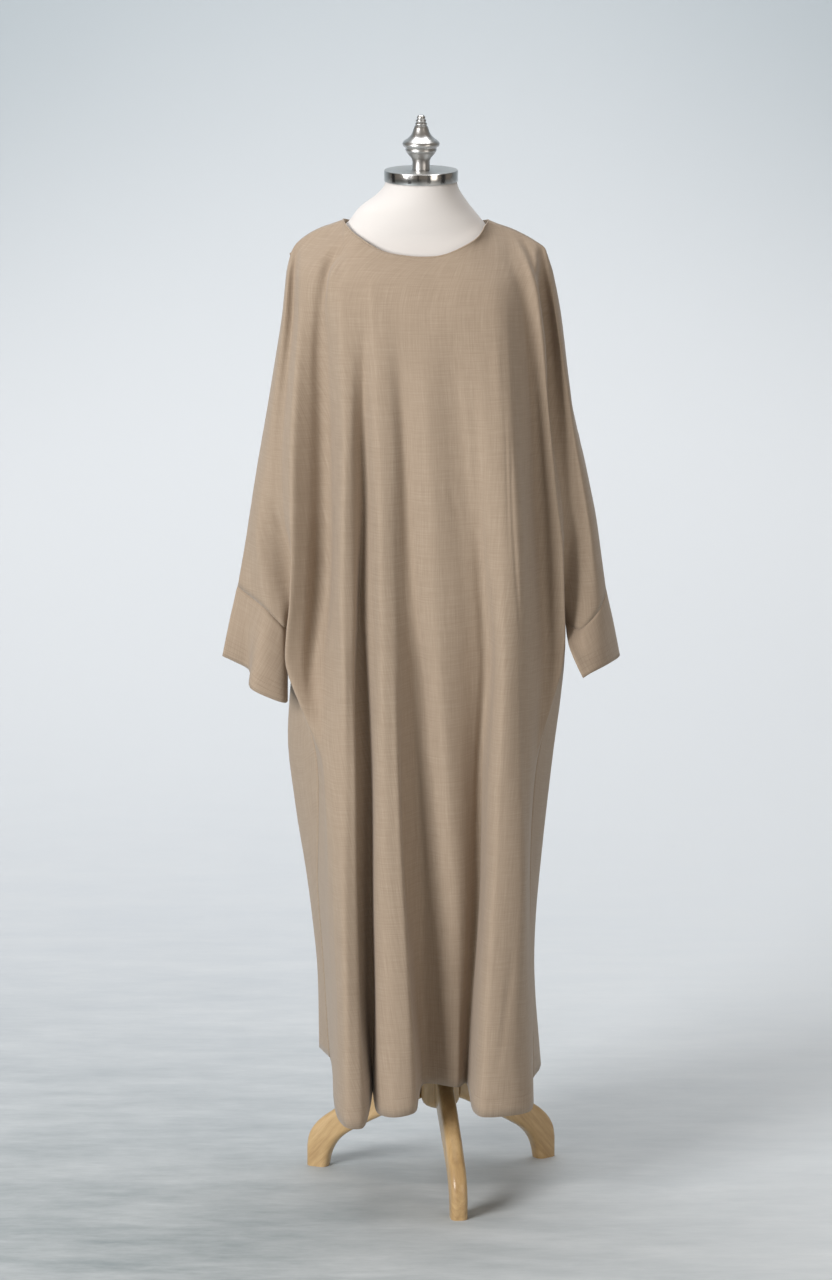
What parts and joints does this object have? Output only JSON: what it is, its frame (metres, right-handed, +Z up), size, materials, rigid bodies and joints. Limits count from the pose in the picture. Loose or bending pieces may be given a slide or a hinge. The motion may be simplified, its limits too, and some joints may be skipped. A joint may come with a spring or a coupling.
{
  "type": "abaya cloak on a dress form",
  "caption": "Loose full-length cloak with batwing sleeves, sewn-on sleeve bands and a wide round neck, draped in long soft folds on a limbless dress form with a wooden tripod stand.",
  "frame": {"origin": "on the floor, under the middle of the box round the whole object", "axes": "+Z up, -Y towards the viewer of the garment's front, +X to that viewer's right; left and right in node names are as that viewer sees them"},
  "size_m": [0.6176, 0.4098, 1.6932],
  "materials": {
    "taupe_linen": "matt plain weave with slubs",
    "taupe_linen_band": "matt plain weave with slubs, stitched",
    "white_form_cover": "smooth matt white cover",
    "polished_steel": "turned and polished, the cap's top brushed",
    "varnished_beech": "clear satin varnish"
  },
  "bodies": {
    "root": {"front_panel": "taupe_linen", "back_panel": "taupe_linen", "cuff_left": "taupe_linen_band", "cuff_right": "taupe_linen_band", "neck_binding": "taupe_linen_band", "bust_form": "white_form_cover", "neck_cap": "polished_steel", "finial": "polished_steel", "post": "varnished_beech", "hub": "varnished_beech", "leg_front": "varnished_beech", "leg_right": "varnished_beech", "leg_left": "varnished_beech"}
  },
  "joints": []
}
